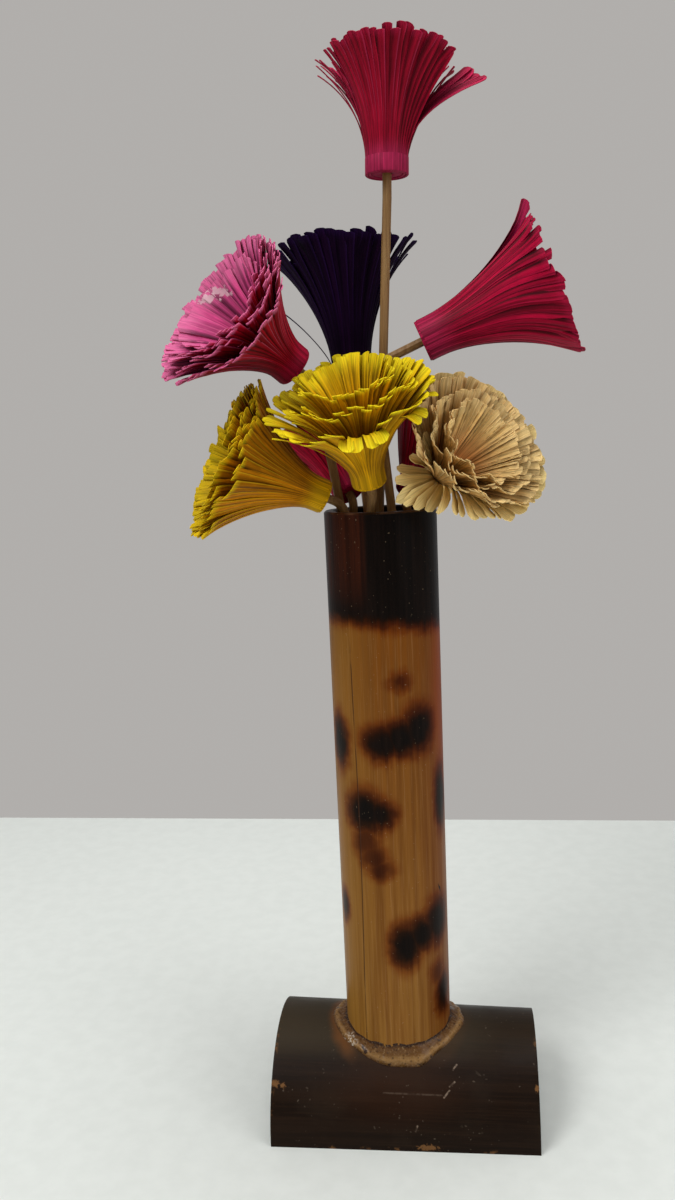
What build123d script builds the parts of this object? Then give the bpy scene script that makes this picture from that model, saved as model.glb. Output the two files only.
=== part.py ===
from build123d import *

import os
from dataclasses import dataclass
from math import cos, radians, sin, tan

# A bamboo vase: a culm tube glued upright in a split-culm saddle, holding nine flowers made of
# rolled rows of shaved strips on sticks. The origin is on the table at the tube's axis, +Z is up,
# +X runs along the saddle and the front faces -Y. All sizes are in millimetres.

# Upright tube
TUBE_HEIGHT = 313.0
MOUTH_DIAMETER = 55.0
TUBE_TAPER = 1.0
TUBE_WALL = 5.0
RIM_EASING = 0.8
PARTITION_HEIGHT = 20.0
PARTITION_THICKNESS = 4.0

# Saddle base, a half culm that tapers from left to right
BASE_LENGTH = 133.0
BASE_RADIUS_LEFT = 46.4
BASE_RADIUS_RIGHT = 43.8
BASE_WALL = 8.0
BASE_SHIFT = 4.0
HOLE_CLEARANCE = 0.3

# Ring of set glue round the foot of the tube
GLUE_SPREAD = 5.0
GLUE_RISE = 2.2
GLUE_CLEARANCE = 0.1

# Stems, shaved sticks that stand on the tube's partition and bend above it
STEM_DIAMETER = 4.4
STEM_FLAT_COUNT = 8
STEM_WALL_GAP = 2.5
STEM_FLOOR_GAP = 0.2
STEM_BEND = 9.0
STEM_BEND_DEPTH = 10.0
STEM_IN_COLLAR = 9.0

# Petal rows, each a rolled collar whose upper part is split into strips that flare out
COLLAR_HEIGHT = 8.0
COLLAR_WALL = 1.3
COLLAR_CLEARANCE = 0.15
PETAL_THICKNESS = 0.5
PETAL_SHARE = 0.96
TIP_SHARE = 0.5
BELLY = 0.45
SHOULDER = 0.87
RIM_LAP = 2.0

# Strips that have come loose at the right of the top flower, with a count for each side of +X
SPRIG_SIDE_COUNT = 1
SPRIG_RIM = 96.0
SPRIG_LENGTH = 48.0


@dataclass
class Flower:
    """One flower: where its stem stands, where its collar ends, which way it opens and its rows."""

    name: str
    foot_angle: float
    foot_inset: float
    reach: tuple
    faces: tuple
    knee: float
    collar_diameter: float
    flare: float
    rows: tuple
    sprig: bool = False


# foot_angle is measured round the mouth from +X, and foot_inset inwards from the ring of stems.
# reach runs from the stem's place in the mouth, at the height of the rim, to the collar's end.
# knee is the straight stem below the collar. A row is its petal count, rim diameter and length.
FLOWERS = [
    Flower("top_magenta", 97, 0, (9.9, 0.3, 158), (0.03, 0, 1), 10, 21, 2.0,
           ((16, 64, 56), (14, 50, 55), (12, 36, 52)), sprig=True),
    Flower("tall_purple", 116, 1.8, (-8.7, 30.5, 65), (-0.05, 0.12, 1), 10, 20, 1.8,
           ((16, 68, 66), (14, 52, 63), (12, 36, 60))),
    Flower("left_magenta", 190, 0, (-21.0, 0.1, 69), (-0.62, -0.50, 0.60), 14, 20, 1.5,
           ((16, 79, 45), (14, 73, 48), (12, 64, 50), (10, 52, 51))),
    Flower("right_magenta", 8, 10.8, (16.1, 10.0, 79), (0.92, 0, 0.39), 26, 20, 1.7,
           ((16, 74, 67), (14, 58, 65), (12, 40, 62))),
    Flower("left_yellow", 210, 0, (-10.1, -2.1, 7), (-0.85, -0.31, 0.42), 10, 16, 1.5,
           ((16, 79, 52), (14, 72, 55), (12, 56, 57))),
    Flower("front_yellow", 255, 0, (1.9, -4.8, 13.4), (-0.13, -0.43, 0.89), 7, 16, 1.5,
           ((16, 77, 46), (14, 60, 52), (12, 42, 57))),
    Flower("cream", 3, 1.2, (11.6, -2.4, 12), (0.60, -0.64, 0.47), 7, 17, 1.0,
           ((16, 75, 34), (14, 69, 37), (12, 56, 39), (10, 40, 40))),
    Flower("rear_left_magenta", 155, 0, (0.3, 0.5, 7), (-0.48, 0.46, 0.75), 5, 15, 1.7,
           ((12, 44, 42), (10, 32, 40))),
    Flower("rear_right_magenta", 35, 0, (-0.6, -0.2, 7), (0.42, 0.55, 0.72), 4, 14, 1.7,
           ((12, 54, 46), (10, 38, 44))),
]
ROW_NAMES = ("outer", "middle", "inner", "heart")

# Sizes that follow from those above
MOUTH_RADIUS = MOUTH_DIAMETER / 2
FOOT_RADIUS = (MOUTH_DIAMETER - TUBE_TAPER) / 2
STEM_RADIUS = STEM_DIAMETER / 2
PARTITION_TOP = PARTITION_HEIGHT + PARTITION_THICKNESS
STEM_RING = FOOT_RADIUS - TUBE_WALL - STEM_WALL_GAP - STEM_RADIUS


def culm_tube():
    """The upright tube, hollow above and below its natural partition, with an eased rim."""
    outline = Polyline((0, 0), (FOOT_RADIUS, 0), (MOUTH_RADIUS, TUBE_HEIGHT), (0, TUBE_HEIGHT), close=True)
    culm = revolve(make_face(Plane.XZ * outline), Axis.Z)
    bore = Cone(
        FOOT_RADIUS - TUBE_WALL, MOUTH_RADIUS - TUBE_WALL, TUBE_HEIGHT - PARTITION_TOP,
        align=(Align.CENTER, Align.CENTER, Align.MIN),
    )
    recess = Cylinder(
        FOOT_RADIUS - TUBE_WALL, PARTITION_HEIGHT, align=(Align.CENTER, Align.CENTER, Align.MIN)
    )
    culm = culm - Pos(0, 0, PARTITION_TOP) * bore - recess
    rim = culm.edges().filter_by(GeomType.CIRCLE).group_by(Axis.Z)[-1]
    return chamfer(rim, RIM_EASING)


def tube_radius(height):
    """The radius of the tube's outside at a height above the table."""
    return FOOT_RADIUS + (MOUTH_RADIUS - FOOT_RADIUS) * height / TUBE_HEIGHT


def tapered_half_culm(grow, overrun=0):
    """A solid half culm lying along X on the table: grow is added to its radius, overrun to each end."""
    widening = (BASE_RADIUS_LEFT - BASE_RADIUS_RIGHT) * overrun / BASE_LENGTH
    left = BASE_RADIUS_LEFT + widening + grow
    cone = Cone(left, BASE_RADIUS_RIGHT - widening + grow, BASE_LENGTH + 2 * overrun)
    lying = Pos(BASE_SHIFT, 0, 0) * Rot(0, 90, 0) * cone
    room = left + BASE_RADIUS_RIGHT
    above = Box(
        2 * BASE_LENGTH, 2 * room, room, align=(Align.CENTER, Align.CENTER, Align.MIN)
    )
    return lying & above


def tube_hole(clearance):
    """The space that the foot of the tube takes up in the base, with a clearance all round."""
    height = BASE_RADIUS_LEFT + BASE_RADIUS_RIGHT
    return Cone(
        tube_radius(0) + clearance, tube_radius(height) + clearance, height,
        align=(Align.CENTER, Align.CENTER, Align.MIN),
    )


def saddle_base():
    """The split half culm, open underneath and at both ends, with the hole for the tube."""
    outside = tapered_half_culm(0)
    inside = tapered_half_culm(-BASE_WALL, overrun=BASE_WALL)
    return outside - inside - tube_hole(HOLE_CLEARANCE)


def glue_bead():
    """The saddle-shaped ring of glue that lies on the base round the tube."""
    crown = max(BASE_RADIUS_LEFT, BASE_RADIUS_RIGHT) + GLUE_RISE
    hole = tube_radius(crown) + GLUE_CLEARANCE
    spread = Cone(
        hole + 2 * GLUE_SPREAD, hole + GLUE_RISE, crown,
        align=(Align.CENTER, Align.CENTER, Align.MIN),
    )
    ring = spread & tapered_half_culm(GLUE_RISE)
    return ring - tapered_half_culm(GLUE_CLEARANCE) - tube_hole(GLUE_CLEARANCE)


def rounded_path(points, bend):
    """A run of straight lines through the points, with an arc of the bend radius at each corner."""
    edges = []
    start = points[0]
    for before, corner, after in zip(points, points[1:], points[2:]):
        arriving = (corner - before).normalized()
        leaving = (after - corner).normalized()
        setback = bend * tan(radians(arriving.get_angle(leaving)) / 2)
        arc_start = corner - arriving * setback
        arc_end = corner + leaving * setback
        edges.append(Line(start, arc_start))
        edges.append(TangentArc(arc_start, arc_end, tangent=arriving))
        start = arc_end
    edges.append(Line(start, points[-1]))
    return Wire(edges)


def foot_place(flower):
    """Where the flower's stem crosses the height of the rim."""
    ring = STEM_RING - flower.foot_inset
    angle = radians(flower.foot_angle)
    return Vector(ring * cos(angle), ring * sin(angle), TUBE_HEIGHT)


def head_plane(flower):
    """The plane of the collar's end, with its normal along the way that the flower opens."""
    axis = Vector(*flower.faces).normalized()
    side = Vector(1, 0, 0) if abs(axis.Z) > 0.9 else Vector(0, 0, 1).cross(axis)
    return Plane(origin=foot_place(flower) + Vector(*flower.reach), x_dir=side, z_dir=axis)


def stem(flower):
    """The stick: straight in the tube, then bent to reach the collar along its axis."""
    head = head_plane(flower)
    mouth = foot_place(flower)
    foot = Vector(mouth.X, mouth.Y, PARTITION_TOP + STEM_FLOOR_GAP)
    bend_start = Vector(mouth.X, mouth.Y, TUBE_HEIGHT - STEM_BEND_DEPTH)
    knee = head.origin - head.z_dir * flower.knee
    top = head.origin + head.z_dir * STEM_IN_COLLAR
    path = rounded_path([foot, bend_start, knee, top], STEM_BEND)
    return sweep(Plane(origin=foot) * RegularPolygon(STEM_RADIUS, STEM_FLAT_COUNT), path=path)


def section(radius, height, along, thickness, spread):
    """The four corners of a strip across its run, outer edge first, with its width growing outwards."""
    corners = []
    for face, side in ((1, -1), (1, 1), (-1, 1), (-1, -1)):
        offset = face * thickness / 2
        across = radius + along.Z * offset
        corners.append(Vector(across, side * across * spread, height - along.X * offset))
    return corners


def strip_sections(radius, bore, rim, length, flare, spread):
    """A strip's sections: foot and top of its collar flat, then belly, shoulder and narrow tip."""
    root = (radius + bore) / 2
    upright = Vector(0, 0, 1)
    sections = [section(root, height, upright, radius - bore, spread) for height in (0, COLLAR_HEIGHT)]
    before = Vector(root, 0, COLLAR_HEIGHT)
    for share, width in ((BELLY, PETAL_SHARE), (SHOULDER, PETAL_SHARE), (1, TIP_SHARE)):
        place = Vector(root + (rim - root) * share**flare, 0, COLLAR_HEIGHT + (length - COLLAR_HEIGHT) * share)
        along = (place - before).normalized()
        sections.append(section(place.X, place.Z, along, PETAL_THICKNESS, width * spread))
        before = place
    return sections


def strip_faces(sections):
    """The faces of one strip. Its collar flat stays open at the sides, where the next one joins it."""
    outlines = [sections[0], sections[-1]]
    for low, high in zip(sections, sections[1:]):
        outlines.append([low[0], low[1], high[1], high[0]])
        outlines.append([low[2], low[3], high[3], high[2]])
    for low, high in zip(sections[1:], sections[2:]):
        for outer, inner in ((0, 3), (1, 2)):
            outlines.append([low[outer], low[inner], high[inner]])
            outlines.append([low[outer], high[inner], high[outer]])
    return [Face(Wire.make_polygon(outline)) for outline in outlines]


def petal_row(radius, bore, petals, rim, length, flare, sprig):
    """One row: a ring of strips joined in a collar, every second strip bent in behind its neighbours."""
    turn = 360 / petals
    spread = tan(radians(turn / 2))
    faces = []
    for place in range(petals):
        loose = sprig and min(place, petals - place) <= SPRIG_SIDE_COUNT
        strip_rim = (SPRIG_RIM / 2 if loose else rim) - place % 2 * RIM_LAP
        sections = strip_sections(radius, bore, strip_rim, SPRIG_LENGTH if loose else length, flare, spread)
        faces += [Rot(0, 0, place * turn) * face for face in strip_faces(sections)]
    return Solid(Shell(faces))


def petal_rows(flower):
    """The flower's rows from the outside in, each nested in the bore of the one before."""
    rows = []
    room = flower.collar_diameter / 2
    for order, (petals, rim, length) in enumerate(flower.rows):
        radius = room * cos(radians(180 / petals))
        last = order == len(flower.rows) - 1
        bore = STEM_RADIUS + COLLAR_CLEARANCE if last else radius - COLLAR_WALL
        sprig = flower.sprig and order == 0
        row = petal_row(radius, bore, petals, rim / 2, length, flower.flare, sprig)
        rows.append(head_plane(flower).location * row)
        room = bore - COLLAR_CLEARANCE
    return rows


def all_nodes():
    """Every piece by its node name, in place."""
    nodes = {"culm_tube": culm_tube(), "saddle_base": saddle_base(), "glue_bead": glue_bead()}
    for flower in FLOWERS:
        nodes[f"{flower.name}_stem"] = stem(flower)
        for row_name, row in zip(ROW_NAMES, petal_rows(flower)):
            nodes[f"{flower.name}_petals_{row_name}"] = row
    return nodes


os.makedirs("parts", exist_ok=True)
for node, shape in all_nodes().items():
    export_step(shape, f"parts/{node}.step")
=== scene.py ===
from dataclasses import dataclass, replace
from math import cos, pi, radians, sin

import bpy
import numpy as np
from mathutils import Matrix, Vector


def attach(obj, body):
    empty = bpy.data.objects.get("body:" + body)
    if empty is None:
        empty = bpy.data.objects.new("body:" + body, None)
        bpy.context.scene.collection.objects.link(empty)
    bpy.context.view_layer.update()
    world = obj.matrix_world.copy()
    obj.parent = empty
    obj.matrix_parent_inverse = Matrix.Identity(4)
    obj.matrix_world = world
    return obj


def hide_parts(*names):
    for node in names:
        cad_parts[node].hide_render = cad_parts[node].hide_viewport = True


# A scorched bamboo tube glued in a dark half-culm saddle, with nine flowers of dyed bamboo strips.
# Sizes of pieces are in millimetres. Places in paints, lamps and the camera are in metres.
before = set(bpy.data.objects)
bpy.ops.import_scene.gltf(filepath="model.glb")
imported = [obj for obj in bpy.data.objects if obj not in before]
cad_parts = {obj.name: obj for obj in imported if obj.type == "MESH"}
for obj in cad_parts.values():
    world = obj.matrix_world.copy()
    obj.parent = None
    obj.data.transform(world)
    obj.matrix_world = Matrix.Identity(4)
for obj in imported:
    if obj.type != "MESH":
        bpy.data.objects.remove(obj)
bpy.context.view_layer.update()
scene = bpy.context.scene
MM = 0.001

# The tube and the saddle, as in the solids
TUBE_HEIGHT = 313.0
MOUTH_RADIUS = 27.5
FOOT_RADIUS = 27.0
BASE_LENGTH = 133.0
BASE_SHIFT = 4.0
BASE_RADIUS_LEFT = 46.4
BASE_RADIUS_RIGHT = 43.8

# The stems and the collars of the flowers, as in the solids
STEM_RING = 17.3
STEM_RADIUS = 2.2
STEM_CLEARANCE = 0.15
COLLAR_HEIGHT = 8.0
COLLAR_WALL = 1.3
ROW_GAP = 0.2


def smooth(low, high, value):
    """0 below low, 1 above high, and a smooth rise between."""
    share = np.clip((np.asarray(value, float) - low) / (high - low), 0, 1)
    return share * share * (3 - 2 * share)


def put_in_scene(name, data):
    made = bpy.data.objects.new(name, data)
    scene.collection.objects.link(made)
    return made


class Paint:
    """A node material with short calls for the nodes that the paints below share."""

    def __init__(self, name, **shader):
        self.material = bpy.data.materials.new(name)
        self.material.use_nodes = True
        self.tree = self.material.node_tree
        self.shader = self.tree.nodes["Principled BSDF"]
        for socket, value in shader.items():
            self.shader.inputs[socket.replace("_", " ")].default_value = value

    def put(self, socket, value):
        if isinstance(value, bpy.types.NodeSocket):
            self.tree.links.new(value, socket)
        elif value is not None:
            socket.default_value = value

    def node(self, kind, inputs, **settings):
        made = self.tree.nodes.new(f"ShaderNode{kind}")
        for key, value in settings.items():
            setattr(made, key, value)
        for key, value in inputs.items():
            self.put(made.inputs[key], value)
        return made

    def object_place(self):
        return self.node("TexCoord", {}).outputs["Object"]

    def uv_place(self, name):
        return self.node("UVMap", {}, uv_map=name).outputs["UV"]

    def axes(self, vector):
        return self.node("SeparateXYZ", {"Vector": vector}).outputs

    def joined(self, x=None, y=None, z=None):
        return self.node("CombineXYZ", {"X": x, "Y": y, "Z": z}).outputs[0]

    def math(self, operation, first, second=None):
        return self.node("Math", {0: first, 1: second}, operation=operation).outputs[0]

    def plus(self, first, second):
        return self.math("ADD", first, second)

    def minus(self, first, second):
        return self.math("SUBTRACT", first, second)

    def times(self, first, second):
        return self.math("MULTIPLY", first, second)

    def largest(self, values):
        top = values[0]
        for value in values[1:]:
            top = self.math("MAXIMUM", top, value)
        return top

    def vector(self, operation, first, second=None):
        made = self.node("VectorMath", {0: first, 1: second}, operation=operation)
        return made.outputs["Value" if operation in ("LENGTH", "DISTANCE", "DOT_PRODUCT") else "Vector"]

    def spot(self, place, centre, size):
        """Distance from a centre, counted in a half width across and one along Z."""
        across, along = size
        offset = self.vector("SUBTRACT", place, tuple(centre))
        return self.vector("LENGTH", self.vector("MULTIPLY", offset, (1 / across, 1 / across, 1 / along)))

    def step(self, low, high, value, start=0.0, end=1.0):
        made = self.node(
            "MapRange",
            {"Value": value, "From Min": low, "From Max": high, "To Min": start, "To Max": end},
            interpolation_type="SMOOTHSTEP",
        )
        return made.outputs["Result"]

    def noise(self, place, scale, detail=3.0, rough=0.55, stretch=None, colour=False):
        """Noise of a scale, which stretch multiplies along each axis."""
        if stretch:
            place = self.vector("MULTIPLY", place, stretch)
        made = self.node("TexNoise", {"Vector": place, "Scale": scale, "Detail": detail, "Roughness": rough})
        return made.outputs["Color" if colour else "Fac"]

    def mix(self, share, first, second, blend="MIX"):
        made = self.node("Mix", {}, data_type="RGBA", blend_type=blend)
        for index, value in ((0, share), (6, first), (7, second)):
            if isinstance(value, tuple) and len(value) == 3:
                value = (*value, 1)
            self.put(made.inputs[index], value)
        return made.outputs[2]

    def coats(self, colour, *coats):
        """A colour under coats: the share of each, the most of it that shows, and its colour."""
        for share, most, coat in coats:
            colour = self.mix(self.times(share, most), colour, coat)
        return colour

    def ramp(self, share, stops):
        made = self.node("ValToRGB", {"Fac": share})
        points = made.color_ramp.elements
        while len(points) < len(stops):
            points.new(0.5)
        for point, (place, colour) in zip(points, stops):
            point.position = place
            point.color = (*colour, 1)
        return made.outputs["Color"]

    def finish(self, colour, roughness=None, height=None, depth=0.1, strength=0.5):
        self.put(self.shader.inputs["Base Color"], colour)
        self.put(self.shader.inputs["Roughness"], roughness)
        if height is not None:
            bump = self.node("Bump", {"Strength": strength, "Distance": depth * MM, "Height": height})
            self.put(self.shader.inputs["Normal"], bump.outputs["Normal"])
        return self.material


def tube_radius(height):
    return FOOT_RADIUS + (MOUTH_RADIUS - FOOT_RADIUS) * height / TUBE_HEIGHT


def on_tube(angle, height):
    """A point of the tube's outside, in metres."""
    radius = tube_radius(height)
    turn = radians(angle)
    return Vector((radius * cos(turn), radius * sin(turn), height)) * MM


# Scorch marks: angle round the tube, height, half width, half height and darkness
SCORCHES = [
    (-146, 201, 8, 14, 0.95), (-92, 203, 11, 9.5, 0.95), (-72, 204.5, 11, 10, 1),
    (-52, 208, 10, 12.5, 1), (-72, 232, 6, 5.5, 0.52), (-20, 170, 6.5, 17, 0.95),
    (-113, 167, 11.5, 12, 1), (-98, 166.5, 8.5, 8.5, 0.95), (-114, 152, 8, 10, 0.58),
    (-106, 144, 8, 8, 0.58), (-99, 138, 8, 6, 0.6), (-152, 113, 5, 9, 0.8),
    (-74, 98, 8.5, 13, 1), (-56, 103, 10.5, 10.5, 0.95), (-34, 107, 10, 13, 0.95),
    (-26, 66, 7, 12, 0.85), (-36, 79, 6, 8, 0.45), (40, 205, 12, 10, 1),
    (70, 214, 9, 12, 0.8), (105, 168, 12, 12, 1), (128, 150, 8, 10, 0.6),
    (150, 206, 9, 14, 0.9), (60, 128, 11, 10, 0.95), (84, 116, 8, 12, 0.6),
    (170, 140, 8, 15, 0.9), (120, 88, 12, 12, 1), (20, 96, 8, 13, 0.9),
    (150, 70, 7, 10, 0.6), (75, 62, 9, 10, 0.8),
]

# The tube's colours at its foot and top, its soot, and the factors by which burning darkens it
HONEY = ((0.27, 0.122, 0.024), (0.185, 0.056, 0.005))
SOOT = ((0.0035, 0.0018, 0.0012), (0.008, 0.0038, 0.0025))
SCORCH_STOPS = [
    (0.0, (1, 1, 1)), (0.22, (0.74, 0.52, 0.38)), (0.5, (0.3, 0.16, 0.11)), (0.78, (0.08, 0.055, 0.05)),
    (1.0, (0.045, 0.035, 0.035)),
]

# Heights in metres between which colours come in on the tube
HONEY_RISE = (0.04, 0.27)
BAND_RISE = (0.2515, 0.2655)
BAND_SLANT = 0.003
LIT_STREAK_RISE = (0.268, 0.292)
LIT_BAND_RISE = (0.262, 0.28)
CRACK_TOP = (0.258, 0.235)
MOUTH_EDGE = (0.3119, 0.3126)

# The crack in radians, its waves per metre, and the small pit
CRACK_ANGLE = -2.125
CRACK_SWAY = 0.022
CRACK_WAVES = 31.0
CRACK_EDGES = (0.017, 0.006)
PIT_PLACE = (-29.3, 123.5)
PIT_SIZE = (0.0008, 0.0035)


def culm_paint():
    """Honey bamboo with fibres, soft scorch marks, a burnt band at the mouth and one long fine crack, with
    painted light on its left, painted shade and a red painted reflection on its right, and a painted
    highlight along the mouth's edge.
    """
    paint = Paint("scorched_culm", Specular_IOR_Level=0.06)
    step, times, noise = paint.step, paint.times, paint.noise
    place = paint.object_place()
    fibre = noise(place, 1500, 2, 0.6, stretch=(1, 1, 0.018))
    streak = noise(place, 330, 3, 0.6, stretch=(1, 1, 0.03))
    cloud = noise(place, 55, 2, stretch=(1, 1, 0.5))
    axes = paint.axes(place)
    angle = paint.math("ARCTAN2", axes["Y"], axes["X"])
    height = axes["Z"]

    # Painted reflection: a soft red glow on the right side of the tube.
    red_reflection = paint.spot(place, on_tube(-8, 222), (0.013, 0.052))
    honey_and_painted_light = paint.coats(
        paint.mix(step(*HONEY_RISE, height), *HONEY),
        (step(0.32, 0.72, streak), 1, (0.15, 0.052, 0.008)),
        (step(0.48, 0.75, fibre), 0.34, (0.33, 0.17, 0.06)),
        (step(0.5, 0.8, cloud), 0.35, (0.22, 0.08, 0.015)),
        # Painted light and shade: lighter towards the left, the lit side, and darker and redder towards the
        # right.
        (step(-1.5, -2.5, angle), 0.45, (0.3, 0.145, 0.022)),
        (step(-1.2, -0.3, angle), 0.5, (0.17, 0.04, 0.006)),
        (step(1.3, 0.3, red_reflection), 0.75, (0.24, 0.042, 0.008)),
    )

    wobble = paint.vector("SUBTRACT", noise(place, 130, 2, colour=True), (0.5, 0.5, 0.5))
    comb = times(paint.minus(streak, 0.5), 0.004)
    moved = paint.vector("ADD", place, paint.vector("MULTIPLY", wobble, (0.006, 0.006, 0.006)))
    moved = paint.vector("ADD", moved, paint.joined(z=comb))
    marks = []
    for turn, up, across, along, dark in SCORCHES:
        reach = paint.spot(moved, on_tube(turn, up), (across * MM, along * MM))
        marks.append(step(1.6, 0.15, reach, 0.0, dark))
    slant = times(paint.math("SINE", paint.plus(angle, 1.1)), BAND_SLANT)
    band = step(*BAND_RISE, paint.plus(paint.axes(moved)["Z"], slant))
    burn = paint.largest([*marks, band])

    scorched = paint.mix(1.0, honey_and_painted_light, paint.ramp(burn, SCORCH_STOPS), "MULTIPLY")
    soot = paint.mix(step(0.35, 0.7, streak), *SOOT)

    # Painted light: on its lit left side the burnt band is browner, with lighter streaks along the fibres.
    left = times(step(-1.72, -1.95, angle), step(-3.05, -2.75, angle))
    lit_streaks = times(step(*LIT_STREAK_RISE, height), step(0.35, 0.62, streak))
    sway = times(paint.math("SINE", times(height, CRACK_WAVES)), CRACK_SWAY)
    line = paint.math("ABSOLUTE", paint.plus(paint.minus(angle, CRACK_ANGLE), sway))
    crack = times(step(*CRACK_EDGES, line), step(*CRACK_TOP, height))
    crack = times(crack, step(0.3, 0.5, noise(place, 60), 0.35, 1))
    pit = paint.spot(moved, on_tube(*PIT_PLACE), PIT_SIZE)
    # Painted highlight: a lighter line along the edge of the mouth.
    pale_marks = times(step(*MOUTH_EDGE, height), step(0.42, 0.6, cloud, 0.15, 0.8))
    colour = paint.coats(
        scorched,
        (step(0.72, 1.0, burn), 1, soot),
        (times(lit_streaks, left), 0.85, (0.072, 0.014, 0.004)),
        (times(left, step(*LIT_BAND_RISE, height)), 0.6, (0.028, 0.0065, 0.0025)),
        (crack, 0.85, (0.045, 0.015, 0.005)),
        (step(1.2, 0.7, pit), 1, (0.012, 0.007, 0.005)),
        (step(0.74, 0.78, noise(place, 760, 1)), 0.28, (0.36, 0.26, 0.16)),
        (pale_marks, 1, (0.17, 0.085, 0.045)),
    )
    gloss = step(0.3, 0.75, streak, 0.3, 0.42)
    ridge = paint.minus(fibre, times(crack, 1.6))
    return paint.finish(colour, gloss, ridge, depth=0.12, strength=0.55)


# The saddle's stain, dark and pale
STAIN = ((0.0078, 0.0034, 0.0014), (0.015, 0.0068, 0.003))

# Chips on the saddle: centre, and half width across and along Z, in metres
NICKS = [
    ((-0.0605, -0.0366, 0.028), (0.0019, 0.0015)),
    ((-0.0565, -0.0372, 0.0277), (0.0012, 0.0014)),
    ((0.0158, -0.0448, 0.0022), (0.0045, 0.0013)),
    ((0.0695, -0.0335, 0.0284), (0.0009, 0.0065)),
    ((0.0685, 0.034, 0.027), (0.003, 0.003)),
    ((-0.018, 0.0446, 0.004), (0.007, 0.002)),
]
# Straight cuts on the saddle from point to point, in metres
FAINT_CUT = ((-0.006, -0.0373, 0.0256), (0.0229, -0.0369, 0.0252))
BRIGHT_CUTS = [
    ((0.024, -0.0374, 0.0244), (0.0268, -0.0355, 0.027)),
    ((0.0268, -0.0345, 0.0284), (0.0293, -0.033, 0.03)),
    ((0.0285, -0.029, 0.0338), (0.0304, -0.027, 0.0354)),
    ((0.01, -0.0438, 0.01), (0.0108, -0.0432, 0.0125)),
]


def cut_share(paint, place, start, end):
    """1 on a straight cut and 0 beside it."""
    run = Vector(end) - Vector(start)
    offset = paint.vector("SUBTRACT", place, start)
    share = paint.vector("DOT_PRODUCT", offset, tuple(run / run.length_squared))
    share = paint.node("Clamp", {"Value": share}).outputs[0]
    nearest = paint.vector("MULTIPLY", paint.joined(share, share, share), tuple(run))
    return paint.step(0.0006, 0.0002, paint.vector("DISTANCE", offset, nearest))


def saddle_paint():
    """Near-black stain over long grain, a painted sheen on the crown, rubbed edges, dust, scratches and a
    raw halo round the tube.
    """
    paint = Paint("stained_saddle", Specular_IOR_Level=0.085)
    step, times, noise = paint.step, paint.times, paint.noise
    place = paint.object_place()
    axes = paint.axes(place)
    grain = noise(place, 900, 3, 0.6, stretch=(0.02, 1, 1))
    bands = noise(place, 160, 2, stretch=(0.03, 1, 1))
    cloud = noise(place, 38, 3)
    chips = noise(place, 420, 2)

    # Painted sheen: the crown is lighter on top, more so towards the left.
    crown_sheen = times(step(0.034, 0.044, axes["Z"]), step(0.058, 0.022, axes["X"], 0.3, 1.0))
    warm = paint.spot(place, (0.0, -0.038, 0.026), (0.03, 0.012))
    from_axis = paint.vector("LENGTH", paint.vector("MULTIPLY", place, (1, 1, 0)))
    ragged = paint.plus(from_axis, times(paint.minus(cloud, 0.5), 0.012))
    halo = times(step(0.0385, 0.0325, ragged), step(-0.018, -0.028, axes["X"], 0.12, 1.0))
    halo = times(halo, step(0.0335, 0.0395, axes["Z"], 0.25, 1.0))

    low_end = (BASE_SHIFT - BASE_LENGTH / 2) * MM
    high_end = (BASE_SHIFT + BASE_LENGTH / 2) * MM
    to_end = paint.math("MINIMUM", paint.minus(axes["X"], low_end), paint.minus(high_end, axes["X"]))
    ends = times(step(0.0022, 0.0002, to_end), step(0.5, 0.62, chips))
    foot = times(step(0.0025, 0.0003, axes["Z"]), step(0.52, 0.62, chips))
    rub = times(paint.largest([ends, foot]), step(0.5, 0.66, noise(place, 75, 2)))
    crumbs = times(paint.minus(noise(place, 780, 3, 0.7), 0.5), 3.4)
    nicks = [step(1.35, 0.75, paint.plus(paint.spot(place, *nick), crumbs)) for nick in NICKS]
    raw = paint.largest([times(rub, 0.6), times(paint.largest(nicks), 0.7)])

    dust = step(0.7, 0.76, noise(place, 650, 1))
    dust = times(dust, step(0.48, 0.62, noise(place, 60, 2)))
    turned = paint.node("VectorRotate", {"Vector": place, "Angle": 0.7}).outputs["Vector"]
    scratch = step(0.7, 0.73, noise(turned, 420, 1, stretch=(0.08, 1, 1)))
    scratch = times(scratch, step(0.56, 0.66, cloud))
    faint = times(cut_share(paint, place, *FAINT_CUT), step(0.35, 0.6, chips, 0.03, 0.14))
    bright = paint.largest([cut_share(paint, place, *cut) for cut in BRIGHT_CUTS])
    bright = times(bright, step(0.42, 0.58, chips, 0.1, 0.6))
    colour = paint.coats(
        paint.mix(step(0.3, 0.7, bands), *STAIN),
        (step(0.45, 0.75, grain), 0.6, (0.021, 0.0098, 0.0045)),
        (step(0.52, 0.72, cloud), 0.5, (0.021, 0.0122, 0.0066)),
        (crown_sheen, 0.8, (0.05, 0.037, 0.022)),
        (step(1.6, 0.4, warm), 0.5, (0.032, 0.0115, 0.0045)),
        (halo, 0.8, (0.15, 0.056, 0.014)),
        (raw, 1, (0.22, 0.1, 0.034)),
        (dust, 0.22, (0.28, 0.22, 0.16)),
        (scratch, 0.35, (0.22, 0.17, 0.12)),
        (paint.largest([faint, bright]), 1, (0.3, 0.22, 0.16)),
    )
    gloss = step(0.3, 0.7, cloud, 0.34, 0.52)
    return paint.finish(colour, gloss, grain, depth=0.12, strength=0.5)


# Colours of the glue from the tube to its outer edge: painted shade dark in the groove by the tube and brown
# beside it, a tan crest that is partly dust and partly a painted highlight, and darker again at the outer
# edge
GLUE_SHADE_AND_HIGHLIGHT_STOPS = [
    (0.0, (0.028, 0.011, 0.005)), (0.1, (0.034, 0.013, 0.005)), (0.2, (0.105, 0.044, 0.012)),
    (0.48, (0.125, 0.056, 0.016)), (0.68, (0.25, 0.135, 0.046)), (0.86, (0.18, 0.088, 0.027)),
    (1.0, (0.075, 0.032, 0.01)),
]


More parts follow.
